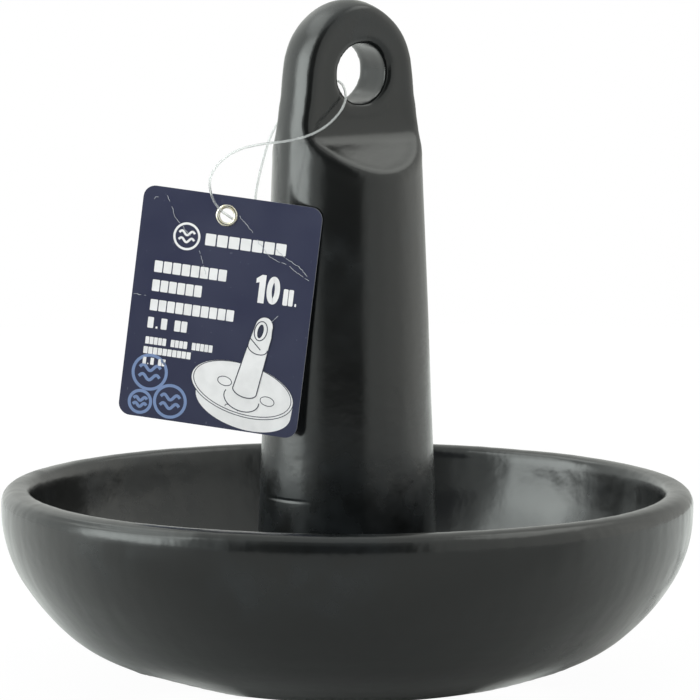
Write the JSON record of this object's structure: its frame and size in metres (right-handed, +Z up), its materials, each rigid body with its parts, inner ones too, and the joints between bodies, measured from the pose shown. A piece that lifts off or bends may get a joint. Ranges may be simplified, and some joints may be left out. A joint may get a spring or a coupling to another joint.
{
  "type": "mushroom anchor",
  "caption": "Vinyl-coated cast mushroom anchor: round dish with drain holes, tapered shank and rope eye, with a card tag on a clear loop.",
  "frame": {"origin": "centre of the dish's underside, on the surface the anchor stands on", "axes": "+Z up along the shank, the bore through the eye along Y, the tag hanging on the -X side"},
  "size_m": [0.2286, 0.2286, 0.2267],
  "materials": {
    "iron": "matte",
    "vinyl": "satin",
    "card": "satin",
    "eyelet": "polished",
    "filament": "gloss",
    "lock": "gloss"
  },
  "bodies": {
    "anchor": {"iron_casting": "iron", "vinyl_coating": "vinyl"},
    "loop": {"tag_loop": "filament", "loop_lock": "lock"},
    "tag": {"tag_card": "card", "tag_eyelet": "eyelet"}
  },
  "joints": [
    {"name": "loop_swing", "type": "hinge", "parent": "anchor", "child": "loop", "pos_m": [-0.0049, 0, 0.2002], "axis": [0, 1, 0], "range_deg": [0, 110]},
    {"name": "tag_swing", "type": "hinge", "parent": "loop", "child": "tag", "pos_m": [-0.0423, 0.0081, 0.1573], "axis": [-0.7425, -0.6686, 0.0401], "range_deg": [-35, 35]}
  ]
}
